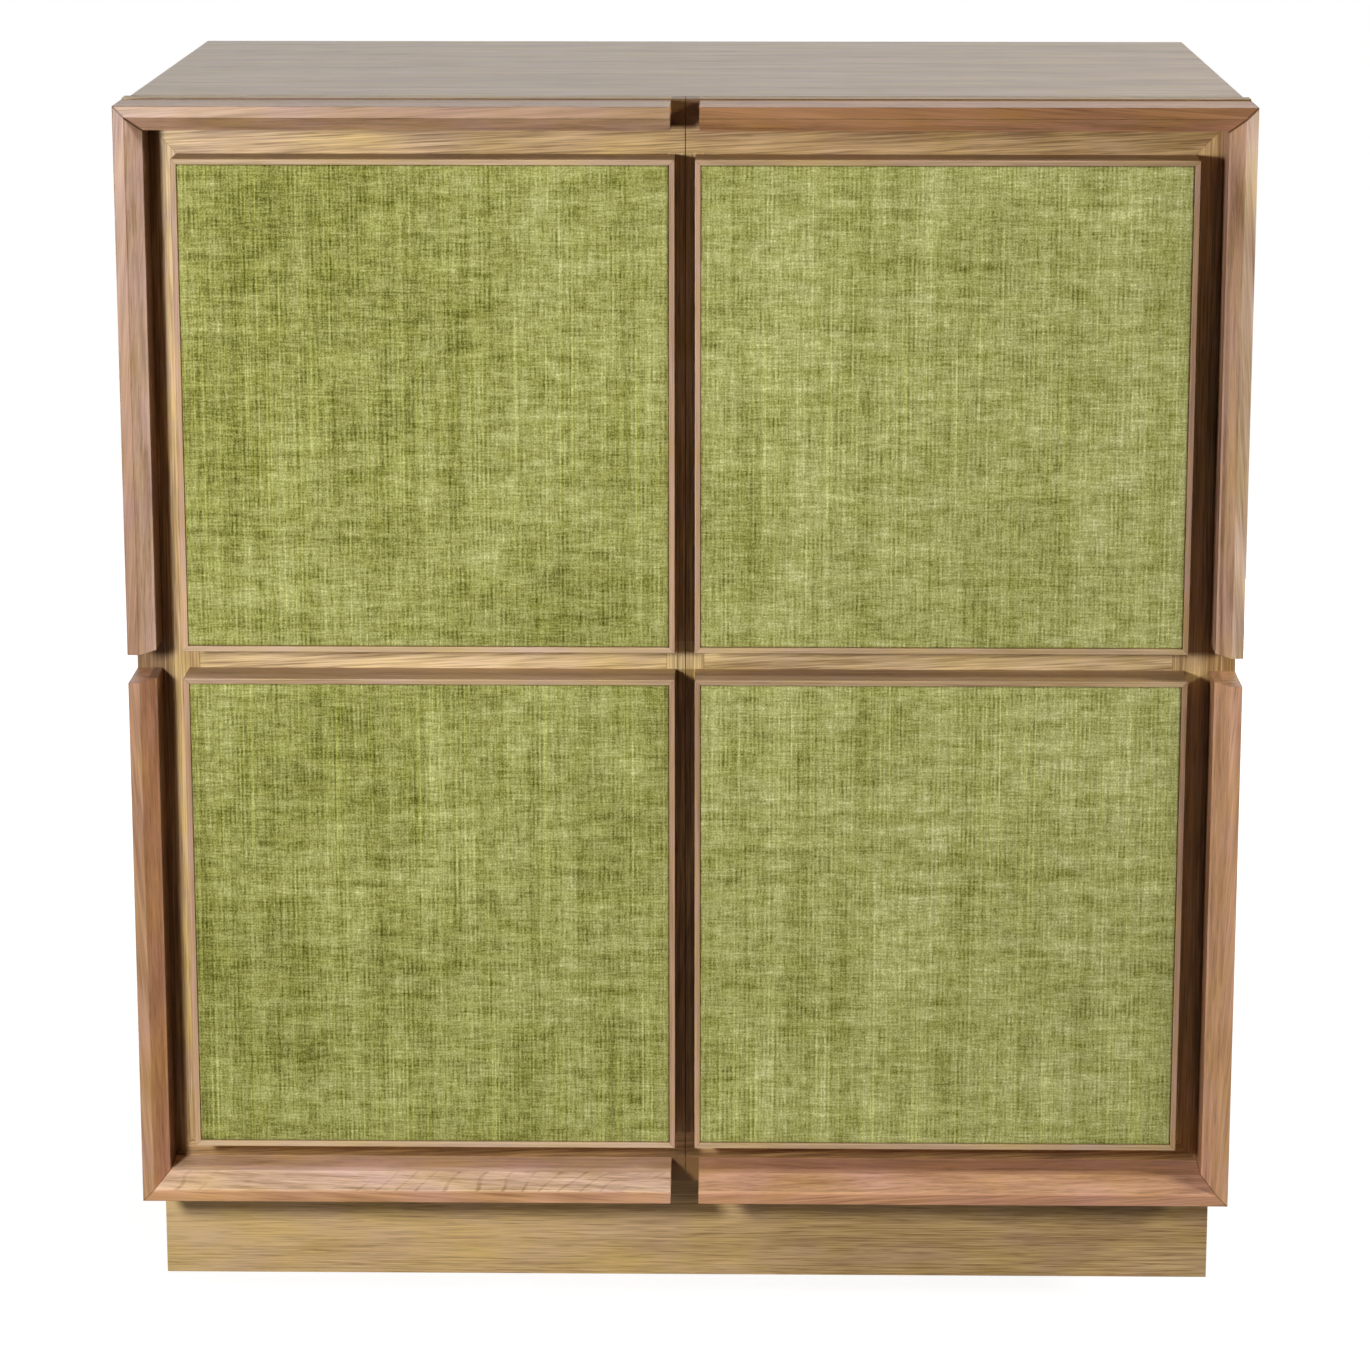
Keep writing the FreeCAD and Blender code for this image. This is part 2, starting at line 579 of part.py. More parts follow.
# Door boards with a solid lipping on each edge, and the door's half of the hinges
for side in SIDES:
    thick = (FACE, "door_board")
    outer = f"({DOOR_HALF} - lipping)"
    meeting = "(meeting_gap / 2)"
    inner = f"({meeting} + lipping)"
    tall = (BASE, "case_height")
    low_strip = (BASE, "lipping")
    high_strip = (f"({TOP} - lipping)", "lipping")
    between = (f"({BASE} + lipping)", "(case_height - 2 * lipping)")
    door = f"{side}_door"
    finish(f"{door}_hinge_lipping", side_box(f"{door}_outer_strip", side, outer, DOOR_HALF, thick, tall))
    finish(f"{door}_meeting_lipping", side_box(f"{door}_inner_strip", side, meeting, inner, thick, tall))
    finish(f"{door}_top_lipping", side_box(f"{door}_top_strip", side, inner, outer, thick, high_strip))
    finish(f"{door}_bottom_lipping", side_box(f"{door}_bottom_strip", side, inner, outer, thick, low_strip))
    finish(f"{door}_board", side_box(f"{door}_sheet", side, inner, outer, thick, between))
    finish(f"{door}_hinge_leaves", grouped(f"{door}_hinge_leaves", leaves[side]))
    finish(f"{door}_hinge_screws", joined(f"{door}_hinge_screws", hinge_screws[side]))

# Mouldings: a bevelled strip from a corner of the front to the notch in the middle of each side
level_run = f"({DOOR_HALF} - notch / 2)"
upright_run = f"(({MOULDING_HEIGHT} - notch) / 2)"
left, right = f"(-{DOOR_HALF})", DOOR_HALF
notch_low = f"({MOULDING_MIDDLE} - notch / 2)"
notch_high = f"({MOULDING_MIDDLE} + notch / 2)"
mouldings = (
    # name, quarter turns, mitre at the start, length, start
    ("left_door_moulding_bottom", 0, True, level_run, (left, BASE)),
    ("right_door_moulding_bottom", 0, False, level_run, ("(notch / 2)", BASE)),
    ("right_door_moulding_side_lower", 1, True, upright_run, (right, BASE)),
    ("right_door_moulding_side_upper", 1, False, upright_run, (right, notch_high)),
    ("right_door_moulding_top", 2, True, level_run, (right, MOULDING_TOP)),
    ("left_door_moulding_top", 2, False, level_run, ("(-notch / 2)", MOULDING_TOP)),
    ("left_door_moulding_side_upper", 3, True, upright_run, (left, MOULDING_TOP)),
    ("left_door_moulding_side_lower", 3, False, upright_run, (left, notch_low)),
)
for name, quarter, mitre_start, length, (across, level) in mouldings:
    body, strip = mitred_strip(
        f"{name}_length", length, MOULDING_WIDTH, "moulding_depth", mitre_start, not mitre_start,
        (across, FACE, level), quarter,
    )
    width = sheet.moulding_flat + sheet.moulding_slope
    inner_front = edges_at(strip, lambda point: near(point.z, sheet.moulding_depth) and near(point.y, width))
    bevel = body.newObject("PartDesign::Chamfer", f"{name}_bevel")
    bevel.Base = (strip, inner_front)
    bevel.ChamferType = "Two distances"
    bind(bevel, Size="moulding_slope", Size2="slope_depth")
    doc.recompute()
    if not any(near(vertex.Point.y, sheet.moulding_flat) for vertex in bevel.Shape.Vertexes):
        bevel.FlipDirection = True
        doc.recompute()
    ridges = (
        (0, sheet.moulding_depth),
        (sheet.moulding_flat, sheet.moulding_depth),
        (width, sheet.moulding_depth - sheet.slope_depth),
    )
    ridge_edges = []
    for across_ridge, height in ridges:
        ridge_edges += edges_at(bevel, lambda point: near(point.y, across_ridge) and near(point.z, height))
    eased(body, bevel, f"{name}_round", ridge_edges, "moulding_round")
    finish(name, body)

# Check every shape, then write one file for each sub-part
doc.recompute()
for item in doc.Objects:
    if "Invalid" in item.State or "Error" in item.State:
        raise RuntimeError(f"{item.Label} did not compute: {item.State}")
for item in parts:
    if item.Shape.isNull() or not item.Shape.isValid():
        raise RuntimeError(f"{item.Label} has no valid shape")
if voids:
    raise RuntimeError(f"holes noted for sub-parts that were already made: {sorted(voids)}")
os.makedirs("parts", exist_ok=True)
for item in parts:
    item.Shape.exportStep(f"parts/{item.Label}.step")
    print(item.Label, len(item.Shape.Solids), "solids", round(item.Shape.Volume / 1000, 2), "cm3")
print(len(parts), "sub-parts")
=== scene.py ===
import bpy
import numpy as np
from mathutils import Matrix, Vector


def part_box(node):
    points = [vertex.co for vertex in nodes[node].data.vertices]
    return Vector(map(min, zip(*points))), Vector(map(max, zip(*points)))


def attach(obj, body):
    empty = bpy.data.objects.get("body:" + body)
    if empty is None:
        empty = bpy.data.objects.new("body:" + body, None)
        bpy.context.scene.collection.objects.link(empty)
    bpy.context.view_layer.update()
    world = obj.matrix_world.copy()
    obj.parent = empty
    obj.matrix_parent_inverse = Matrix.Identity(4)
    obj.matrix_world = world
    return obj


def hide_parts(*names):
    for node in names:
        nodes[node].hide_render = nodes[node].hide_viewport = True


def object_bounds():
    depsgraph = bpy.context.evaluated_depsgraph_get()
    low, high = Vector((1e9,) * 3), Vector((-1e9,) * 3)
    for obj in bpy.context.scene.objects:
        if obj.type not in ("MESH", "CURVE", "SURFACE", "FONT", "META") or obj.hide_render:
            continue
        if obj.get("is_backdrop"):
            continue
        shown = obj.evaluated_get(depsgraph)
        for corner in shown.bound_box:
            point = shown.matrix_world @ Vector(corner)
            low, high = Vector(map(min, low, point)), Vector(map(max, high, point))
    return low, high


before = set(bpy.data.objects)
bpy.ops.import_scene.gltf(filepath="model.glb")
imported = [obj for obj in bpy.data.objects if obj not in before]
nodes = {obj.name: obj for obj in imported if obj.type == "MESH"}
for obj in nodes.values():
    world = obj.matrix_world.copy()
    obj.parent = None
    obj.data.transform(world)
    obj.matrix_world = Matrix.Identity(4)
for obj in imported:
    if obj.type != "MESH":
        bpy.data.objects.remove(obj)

# %% [markdown]
# # A two-door credenza with velvet panels
# The solids come from the CAD frame, already in place and in metres. Their shapes are right, so
# they stay, and each one gets a finish here. Only the padded velvet facings are made anew, because
# cloth over a pad has a crown and rolled edges that a plain block lacks. The box of the solids is
# kept, to print it beside that of the dressed model at the end.

cad_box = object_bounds()
SIDES = ("left", "right")
LEVELS = ("upper", "lower")
print(len(nodes), "solids; box in metres", [[round(c, 4) for c in corner] for corner in cad_box])

# %% [markdown]
# ## Camera
# The photograph looks at the front from about 4 m away and from above, with a long lens. The place,
# tilt and lens were found by fitting the corners of the front, the top, the plinth and the panels.
# The optical axis lies above the middle of the picture, so the lens has a small vertical shift.

# %% Camera
PICTURE = 1370            # pixels across the square picture
FOCAL = 4271.4            # focal length in the same pixels
AXIS_ABOVE_MIDDLE = 80    # pixels
SENSOR = 36.0             # millimetres
TILT, YAW = 0.2182, -0.0150
CAMERA_AT = (0.05645, -4.04497, 1.4958)

lens = bpy.data.cameras.new("camera")
lens.sensor_width = SENSOR
lens.lens = FOCAL / PICTURE * SENSOR
lens.shift_y = -AXIS_ABOVE_MIDDLE / PICTURE
forward = Vector((np.sin(YAW) * np.cos(TILT), np.cos(YAW) * np.cos(TILT), -np.sin(TILT)))
rightward = Vector((np.cos(YAW), -np.sin(YAW), 0.0))
turn = Matrix((rightward, rightward.cross(forward), -forward)).transposed()
camera = bpy.data.objects.new("camera", lens)
camera.matrix_world = Matrix.Translation(CAMERA_AT) @ turn.to_4x4()
bpy.context.collection.objects.link(camera)
bpy.context.scene.camera = camera
bpy.context.scene.view_settings.view_transform = "Standard"
print("lens", round(lens.lens, 1), "mm, shift", round(lens.shift_y, 4))

# %% [markdown]
# ## Helpers for finishes
# A finish is a small tree of nodes. One function turns a colour written as sRGB hex into the linear
# values that a renderer works with. Another adds a node, sets its properties and fills its inputs,
# which are plain values or the outputs of earlier nodes, so that a tree reads like a formula. Two
# short forms of it do arithmetic and turn one range of values into another.

# %% Colour and node helpers
def linear(code):
    """An sRGB hex colour in linear light.

    It is c / 12.92 when dark, else ((c + 0.055) / 1.055) to the power 2.4.
    """
    value = np.array([int(code[i:i + 2], 16) for i in (1, 3, 5)]) / 255
    return np.where(value <= 0.04045, value / 12.92, ((value + 0.055) / 1.055) ** 2.4)


def opaque(colour):
    """Red, green and blue with an alpha of 1, as a node's colour socket takes it."""
    return (*(float(c) for c in colour), 1.0)


def add(tree, kind, inputs=None, output=0, stops=(), **settings):
    """Add a node with its settings and links, and a ramp's stops, and return one of its outputs."""
    made = tree.nodes.new("ShaderNode" + kind)
    for name, value in settings.items():
        setattr(made, name, value)
    for name, value in (inputs or {}).items():
        if isinstance(value, bpy.types.NodeSocket):
            tree.links.new(value, made.inputs[name])
        else:
            made.inputs[name].default_value = value
    for count, (place, colour) in enumerate(stops):
        points = made.color_ramp.elements
        point = points[count] if count < len(points) else points.new(1.0)
        point.position, point.color = place, opaque(colour)
    return made.outputs[output] if made.outputs else made


def calc(tree, operation, *values):
    """One step of arithmetic."""
    return add(tree, "Math", dict(enumerate(values)), operation=operation)


def ramp(tree, value, low, high, start=0.0, end=1.0):
    """From start to end while a value runs from low to high, and held beyond them."""
    return add(tree, "MapRange", {
        "Value": value, "From Min": low, "From Max": high, "To Min": start, "To Max": end})


def mix_colours(tree, share, first, second, **settings):
    """Two colours mixed by a share, or blended in the way that the settings name."""
    return add(tree, "Mix", {0: share, 6: first, 7: second}, output=2, data_type="RGBA", **settings)


def object_place(tree):
    """The place of a point in the piece's own axes, in metres."""
    return add(tree, "TexCoord", output=3)


def new_finish(name):
    """An empty material and its tree."""
    finish = bpy.data.materials.new(name)
    finish.use_nodes = True
    finish.node_tree.nodes.clear()
    return finish, finish.node_tree


print("mid oak in linear light", linear("#C4A87B").round(3))

# %% [markdown]
# ## Grain
# Sawn wood has straight streaks, growth rings that wander where the cut leaves them, fine fibres and
# short dark pores, all along one direction. A picture of wood would repeat. Noise that is squeezed
# across the grain and drawn out along it doesn't, and it can run along any axis of a piece.

# %% Grain
X, Y, Z = 0, 1, 2


def noise(tree, vector, detail, roughness=0.6):
    """Noise with the scale of its vector."""
    return add(tree, "TexNoise", {
        "Vector": vector, "Scale": 1.0, "Detail": detail, "Roughness": roughness})


def grain(tree, along, seed, rings, streak, fibre, slant=0.0):
    """Shade, relief and tint of wood whose grain runs along one axis, or slants off it.

    Each layer is noise with its own width across the grain and length along it, in millimetres. Growth
    rings are the sine of a slow noise, with a count and a weight. Fibres have a length and a weight.
    Real fibres and pores are finer. They are drawn this coarse so that they show in the picture. A
    slant turns the grain in the plane of the front.
    """
    ring_count, ring_weight = rings
    fibre_length, fibre_weight = fibre
    place = add(tree, "Mapping", {"Vector": object_place(tree), "Rotation": (0.0, slant, 0.0)})

    def layer(width, length, detail, shift):
        """Noise of a width across the grain and a length along it."""
        scale = [1000 / width] * 3
        scale[along] = 1000 / length
        corner = (seed + shift, 1.7 * seed - shift, 0.6 * seed + shift)
        vector = add(tree, "Mapping", {"Vector": place, "Location": corner, "Scale": scale})
        return noise(tree, vector, detail)

    wave = calc(tree, "SINE", calc(tree, "MULTIPLY", layer(55, 560, 1.0, 3), ring_count))
    fibres = layer(1.3, fibre_length, 2.0, 7)
    pores = ramp(tree, layer(1.2, 0.6 * fibre_length, 1.0, 11), 0.58, 0.66)
    parts = (
        (wave, ring_weight),
        (layer(streak, 50 * streak, 3.0, 0), 0.60),    # straight streaks
        (layer(7, 60, 2.0, 15), 0.15),                 # flecks
        (layer(28, 280, 1.0, 19), 0.45),               # broad bands
        (fibres, fibre_weight), (pores, -0.17 * fibre_weight))
    shade = 0.0
    for part, weight in parts:
        shade = calc(tree, "MULTIPLY_ADD", part, weight, shade)
    # The added parts have means of their own, which come off, so that 0 is the middle tone.
    shade = calc(tree, "SUBTRACT", shade, 0.60 + 0.46 * fibre_weight)
    relief = calc(tree, "MULTIPLY_ADD", pores, -0.6, fibres)
    return shade, relief, layer(36, 80, 2.0, 23)


print("grain axes", {"x": X, "y": Y, "z": Z})

# %% [markdown]
# ## Lacquered wood
# Case, doors and plinth are veneered boards, the mouldings and rims are solid strips, and all were
# sprayed with a clear satin lacquer. Dark latewood is redder than the pale earlywood, so the colour
# of a piece is one middle tone that turns darker and redder, or lighter and greyer, and in slow
# patches a little yellower or pinker. Masks can stand part of the grain upright, as on a frame of
# strips, draw fine joints, add painted shade and painted light, add painted highlights on edges, and
# give one part a tone of its own, such as a bevel, whose tone holds painted light and shade.

# %% Lacquered wood
DARKER, LIGHTER = np.array((0.60, 0.54, 0.47)), np.array((1.36, 1.42, 1.50))
REACH = 0.26    # shade from the middle tone to the darker and to the lighter one
OAK, CHERRY = (110, 0.80), (70, 0.55)    # length of the fibres in millimetres, and their weight
YELLOWER, PINKER = (1.0, 1.0, 0.80), (1.0, 0.98, 1.20)


def lacquered_wood(name, tone, along, seed=0.0, rings=(40, 0.03), streak=7.0, rough=0.42, contrast=1.0,
                   slant=0.0, fibre=OAK, upright=None, part=None, part_tone=None, marks=()):
    """Wood under satin lacquer: shade picks a colour between darker and lighter, and tint its hue.

    Upright is a mask of the places where the grain stands up, part a mask of those that have the second
    tone, and each mark is a mask with the shade that it adds.
    """
    finish, tree = new_finish(name)
    shade, relief, tint = grain(tree, along, seed, rings, streak, fibre, slant)
    if upright:
        mask = upright(tree)
        shade_z, relief_z, _ = grain(tree, Z, seed + 5, rings, streak, fibre)
        shade = add(tree, "Mix", {0: mask, 2: shade, 3: shade_z})
        relief = add(tree, "Mix", {0: mask, 2: relief, 3: relief_z})
    for mark, depth in marks:
        shade = calc(tree, "MULTIPLY_ADD", mark(tree), depth, shade)
    reach = 2.5 * REACH / contrast
    shade = ramp(tree, shade, -reach, reach)

    def toned(code):
        """The colours from darker to lighter round one tone."""
        middle = linear(code)
        return add(tree, "ValToRGB", {0: shade}, stops=(
            (0.1, middle * DARKER ** 2), (0.3, middle * DARKER), (0.5, middle), (0.7, middle * LIGHTER)))

    colour = toned(tone)
    if part:
        colour = mix_colours(tree, part(tree), colour, toned(part_tone))
    hue = add(tree, "ValToRGB", {0: ramp(tree, tint, 0.3, 0.7)}, stops=((0.0, YELLOWER), (1.0, PINKER)))
    colour = mix_colours(tree, 1.0, colour, hue, blend_type="MULTIPLY")
    gloss = ramp(tree, relief, 0.2, 0.8, rough + 0.06, rough - 0.06)
    bump = add(tree, "Bump", {"Strength": 0.3, "Distance": 0.0002, "Height": relief})
    lacquer = add(tree, "BsdfPrincipled", {
        "Base Color": colour, "Roughness": gloss, "IOR": 1.48, "Normal": bump})
    add(tree, "OutputMaterial", {"Surface": lacquer})
    return finish


print("reach of a shade", REACH, "fibres of oak and cherry", OAK, CHERRY)

# %% [markdown]
# ## Masks
# A mask is a formula of the place alone, so it runs on from one piece to the next. The front of the
# two doors is a frame, and most masks ask how far a point lies inside the edges of such a frame, or
# whether it lies near a given plane.

# %% Masks
def place_along(tree, axis):
    """The place of a point along one axis, in metres."""
    return add(tree, "SeparateXYZ", {0: object_place(tree)}, output=axis)


def near(tree, axis, middle, half):
    """1 within a distance of a plane across one axis."""
    return calc(tree, "COMPARE", place_along(tree, axis), middle, half)


def beyond(tree, axis, limit):
    """1 further along an axis than a plane across it."""
    return calc(tree, "GREATER_THAN", place_along(tree, axis), limit)


def inset(tree, axis, middle, half):
    """Distance inwards from the nearer of two edges: half the width less the distance from the middle."""
    away = calc(tree, "SUBTRACT", place_along(tree, axis), middle)
    return calc(tree, "SUBTRACT", half, calc(tree, "ABSOLUTE", away))


def insets(tree, across, up, operation, *more):
    """The distance in from a frame's sides and that from its ends, put together by one operation."""
    return calc(tree, operation, inset(tree, X, *across), inset(tree, Z, *up), *more)


def strips_upright(across, up):
    """A mask that is 1 on the side strips of a mitred frame, where the side is nearer than the end."""
    return lambda tree: insets(tree, across, up, "LESS_THAN")


def mitre_line(across, up, width):
    """A mask that is 1 on the mitres, where the side is as near as the end, to within a width."""
    return lambda tree: insets(tree, across, up, "COMPARE", width)


def span(low, high):
    """Middle and half width of a range."""
    return (low + high) / 2, (high - low) / 2


front_low = np.minimum(*[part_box(f"{side}_door_moulding_bottom")[0] for side in SIDES])
front_high = np.maximum(*[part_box(f"{side}_door_moulding_top")[1] for side in SIDES])
FRONT_ACROSS = span(front_low[X], front_high[X])
FRONT_UP = span(front_low[Z], front_high[Z])
FRONT_FRAME = (FRONT_ACROSS, FRONT_UP)
FRONT = front_low[Y]
FACE, DOOR_BACK = (corner[Y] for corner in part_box("left_door_board"))
print("front, middle and half:", FRONT_ACROSS, FRONT_UP)

# %% [markdown]
# ## Faces of the doors
# Each door is a board with solid lippings, veneered in oak as a frame: upright stiles at the outer
# edges, mitred into level rails at the top and bottom, and a narrow upright strip along the meeting
# edge between the rails. A paler strip lies level between the panels, partly a paler veneer and partly
# painted light where the panels shade it, and the backs are plain, with upright grain. Painted shade
# darkens the foot of the moulding, the notches at the middle of its top and bottom, and the face
# between the lower panels, and a painted gap shadow darkens the step above the moulding. One
# finish serves all of it, because a pattern that depends only on place runs on from one piece to the
# next, as veneer from one sheet does.

# %% Door faces
STILE, RAIL, MEETING_STRIP = 0.057, 0.047, 0.0168    # metres
SKIN = 0.0003                             # a surface is found to within this
JOINT, MEETING_JOINT = 0.0002, 0.0003     # half the widths of joints at the stiles and the meeting strip
STEP, STEP_HALF = 0.0005, 0.0006          # height of the painted gap shadow above the moulding, and half its width
STRIP_OVERLAP = 0.001                     # the level strip goes this far behind the panels
CORNER_SHADE_WIDTH = 0.012                       # the painted shade at the moulding's foot fades over this
MEETING_EDGE = 0.0006                     # from the middle, just more than half the gap
right_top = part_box("right_door_moulding_top")
WALL = front_high[Z] - right_top[0][Z]    # from the edge of the front to the moulding's inner wall
NOTCH = right_top[0][X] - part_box("left_door_moulding_top")[1][X]


def face_strips(tree):
    """Distance in from the side, the nearer of end and stile, and 1 between the rails."""
    side, end = inset(tree, X, *FRONT_ACROSS), inset(tree, Z, *FRONT_UP)
    return side, calc(tree, "MINIMUM", end, STILE), calc(tree, "GREATER_THAN", end, RAIL)


def on_face(tree, mask):
    """A mask that holds only on the front of the doors, not on their edges and backs."""
    return calc(tree, "MULTIPLY", mask, near(tree, Y, FACE, SKIN))


def face_upright(tree):
    """1 on the outer stiles, on the strip along the meeting edge, and on the backs of the doors."""
    side, nearer, between = face_strips(tree)
    outer = calc(tree, "LESS_THAN", side, nearer)
    inner = calc(tree, "GREATER_THAN", side, FRONT_ACROSS[1] - MEETING_STRIP)
    strips = calc(tree, "MAXIMUM", outer, calc(tree, "MULTIPLY", inner, between))
    return calc(tree, "MAXIMUM", strips, beyond(tree, Y, DOOR_BACK - SKIN))


def joints_and_painted_gap_shadow(tree):
    """1 on the joints round the stiles and meeting strip, 0.5 on the step above the moulding: painted gap
    shadow.
    """
    side, nearer, between = face_strips(tree)
    outer = calc(tree, "COMPARE", side, nearer, JOINT)
    inner = calc(tree, "COMPARE", side, FRONT_ACROSS[1] - MEETING_STRIP, MEETING_JOINT)
    joints = calc(tree, "MAXIMUM", outer, calc(tree, "MULTIPLY", inner, between))
    step = calc(tree, "MULTIPLY", near(tree, Z, front_high[Z] + STEP, STEP_HALF), 0.5)
    return on_face(tree, calc(tree, "MAXIMUM", joints, step))


def cross_strip(tree):
    """1 on the level strip between the panels, from stile to stile: paler veneer and partly painted light.
    """
    low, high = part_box("left_door_lower_panel_rim")[1][Z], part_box("left_door_upper_panel_rim")[0][Z]
    middle, half = span(low, high)
    inner = calc(tree, "GREATER_THAN", inset(tree, X, *FRONT_ACROSS), STILE)
    return on_face(tree, calc(tree, "MULTIPLY", near(tree, Z, middle, half + STRIP_OVERLAP), inner))


def corner_painted_shade(tree):
    """1 at the foot of the moulding's inner wall, fading out over the face: painted shade in the corner."""
    nearer = insets(tree, *FRONT_FRAME, "MINIMUM")
    return on_face(tree, ramp(tree, nearer, WALL, WALL + CORNER_SHADE_WIDTH, 1.0, 0.0))


def notch_painted_shade(tree):
    """1 in the notches at the middle of the moulding's top and bottom, not on the meeting edges: painted
    shade.
    """
    away = calc(tree, "ABSOLUTE", place_along(tree, X))
    middle = calc(tree, "COMPARE", away, NOTCH / 4, NOTCH / 4 - MEETING_EDGE)
    return calc(tree, "MULTIPLY", middle, calc(tree, "LESS_THAN", inset(tree, Z, *FRONT_UP), WALL))


def lower_channel_painted_shade(tree):
    """1 on the face between the lower panels, where shade is painted into the channel."""
    low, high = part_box("left_door_lower_panel_rim")
    level = near(tree, Z, *span(low[Z], high[Z]))
    return on_face(tree, calc(tree, "MULTIPLY", near(tree, X, 0.0, MEETING_STRIP), level))


print("inner wall", round(1000 * WALL, 1), "mm in, notch", round(1000 * NOTCH, 1), "mm wide")
finishes = {}
# marks: dark joints with a painted gap shadow, then painted shade at the moulding's foot, in the notches
# and between the lower panels
door_face = lacquered_wood(
    "oak_veneer_lacquered_doors", "#CEAD76", X, seed=2, rings=(70, 0.04), streak=2.2, contrast=1.25,
    slant=0.05, fibre=(70, 0.80), upright=face_upright, part=cross_strip, part_tone="#DFC48E",
    marks=((joints_and_painted_gap_shadow, -0.40), (corner_painted_shade, -0.32), (notch_painted_shade, -0.42), (lower_channel_painted_shade, -0.18)))
for side in SIDES:
    for piece in ("board", "hinge_lipping", "meeting_lipping", "top_lipping", "bottom_lipping"):
        finishes[f"{side}_door_{piece}"] = door_face
print(len(finishes), "pieces of the door faces")

# %% [markdown]
# ## Mouldings and rims
# A deep moulding with a bevel runs round the front, and a thin rim round each panel, both in solid
# cherry. Every strip was cut from its own plank, so the tones differ: greyer at the upper left, more
# orange at the lower left, redder at the top right. The left bottom strip was cut where the rings run
# out of the plank, so its bevel shows slanting dark curves. Painted shade darkens the walls that face a
# channel at the sides, and painted light brightens the walls of the bottom strips.

# %% Masks of the mouldings
BEVEL_DEPTH = 0.021             # metres behind the front
FLAT_END = (0.0004, 0.0019)     # depths between which the flat front turns into the bevel
WALL_START = BEVEL_DEPTH + 0.0005
HIGHLIGHT_HALF = 0.0013            # half the width of a painted highlight on an edge
HIGHLIGHT_FRONT, HIGHLIGHT_BACK = 0.0014, BEVEL_DEPTH - HIGHLIGHT_HALF    # depths of the two edges of a bevel
OUTER_SIDE = 0.015              # a point further in than this is not on the outer side
CURVE_SPACING = 0.021           # metres from one slanting curve to the next


def bevel_mask(tree):
    """0 on the flat front, 1 behind it."""
    return ramp(tree, place_along(tree, Y), FRONT + FLAT_END[0], FRONT + FLAT_END[1])


def edge_painted_highlight(depth):
    """A mask that is 1 on an edge at a depth behind the front, where a highlight is painted."""
    return lambda tree: near(tree, Y, FRONT + depth, HIGHLIGHT_HALF)


def inner_wall(tree):
    """1 behind the bevel on the wall that faces the panels, where shade or light is painted."""
    inwards = calc(tree, "GREATER_THAN", insets(tree, *FRONT_FRAME, "MINIMUM"), OUTER_SIDE)
    return calc(tree, "MULTIPLY", inwards, beyond(tree, Y, FRONT + WALL_START))


def slanting_curves(tree):
    """Rings running out of the plank, on the bevel alone.

    They are the sine of a distance along the strip that slants across the bevel, bent by a slow noise,
    kept where it is highest, and faded in and out by a second noise.
    """
    place = object_place(tree)

    def slow(length, shift):
        """Noise of a length along the strip."""
        vector = add(tree, "Mapping", {
            "Vector": place, "Location": (shift, 0, 0), "Scale": (1000 / length, 25, 25)})
        return noise(tree, vector, 1.0, 0.5)

    slant = calc(tree, "MULTIPLY_ADD", place_along(tree, Z), -1.9, place_along(tree, X))
    turns = calc(tree, "MULTIPLY", slant, 2 * np.pi / CURVE_SPACING)
    turns = calc(tree, "MULTIPLY_ADD", slow(110, 2), 14.0, turns)
    curves = ramp(tree, calc(tree, "SINE", turns), 0.80, 1.0)
    curves = calc(tree, "MULTIPLY", curves, ramp(tree, slow(160, 9), 0.38, 0.60))
    shallow = calc(tree, "LESS_THAN", place_along(tree, Y), FRONT + BEVEL_DEPTH)
    return calc(tree, "MULTIPLY", calc(tree, "MULTIPLY", curves, shallow), bevel_mask(tree))


print("bevel", round(1000 * BEVEL_DEPTH), "mm deep")

# %% [markdown]
# Each strip has a tone for its flat front and one for its bevel, which differ by the light and shade
# painted on each face for its slope, and its grain slants a little off its length. The mitres at the
# top have opened, so their lines are wider and darker there.

# %% Mouldings
MOULDING_TONES = {    # flat front and bevel of each strip, which differ by painted light and shade
    "left": {"moulding_top": ("#B89272", "#CEA582"), "moulding_side_upper": ("#B38A6E", "#D2AE94"),
             "moulding_side_lower": ("#BE926C", "#BA865F"), "moulding_bottom": ("#CE9B71", "#DDBB98")},
    "right": {"moulding_top": ("#A17247", "#D69E71"), "moulding_side_upper": ("#DDBC9C", "#C59D7E"),
              "moulding_side_lower": ("#DCAA81", "#D0A078"), "moulding_bottom": ("#CF9973", "#D0A17C")},
}
OPEN_MITRE, TIGHT_MITRE = (0.0013, -0.60), (0.0006, -0.35)    # width of the line, and its shade
# painted shade on the inner walls of the side strips, painted light on those of the bottom strips
SIDE_WALL_PAINTED_SHADE, BOTTOM_WALL_PAINTED_LIGHT = {"left": -0.42, "right": -0.17}, 0.10
for number, side in enumerate(SIDES):
    for strip, (piece, (tone, bevel_tone)) in enumerate(MOULDING_TONES[side].items()):
        bottom = "bottom" in piece
        line, line_shade = OPEN_MITRE if "top" in piece or "upper" in piece else TIGHT_MITRE
        # marks: open or tight mitres, painted shade or light on the inner wall, a painted highlight on one
        # edge
        marks = [(mitre_line(*FRONT_FRAME, line), line_shade),
                 (inner_wall, BOTTOM_WALL_PAINTED_LIGHT if bottom else SIDE_WALL_PAINTED_SHADE[side]),
                 (edge_painted_highlight(HIGHLIGHT_FRONT if bottom else HIGHLIGHT_BACK), 0.14)]
        if bottom and side == "left":
            marks.append((slanting_curves, -0.28))
        wavy = side == "right" and "upper" in piece
        finishes[f"{side}_door_{piece}"] = lacquered_wood(
            f"cherry_{piece}_lacquered_{side}", tone, Z if "side" in piece else X,
            seed=20 + 7 * strip + 3 * number, rings=(45, 0.15) if wavy else (60, 0.06), streak=4,
            slant=0.07 * (-1) ** (strip + number), fibre=CHERRY, rough=0.37, part=bevel_mask,
            part_tone=bevel_tone, marks=marks)
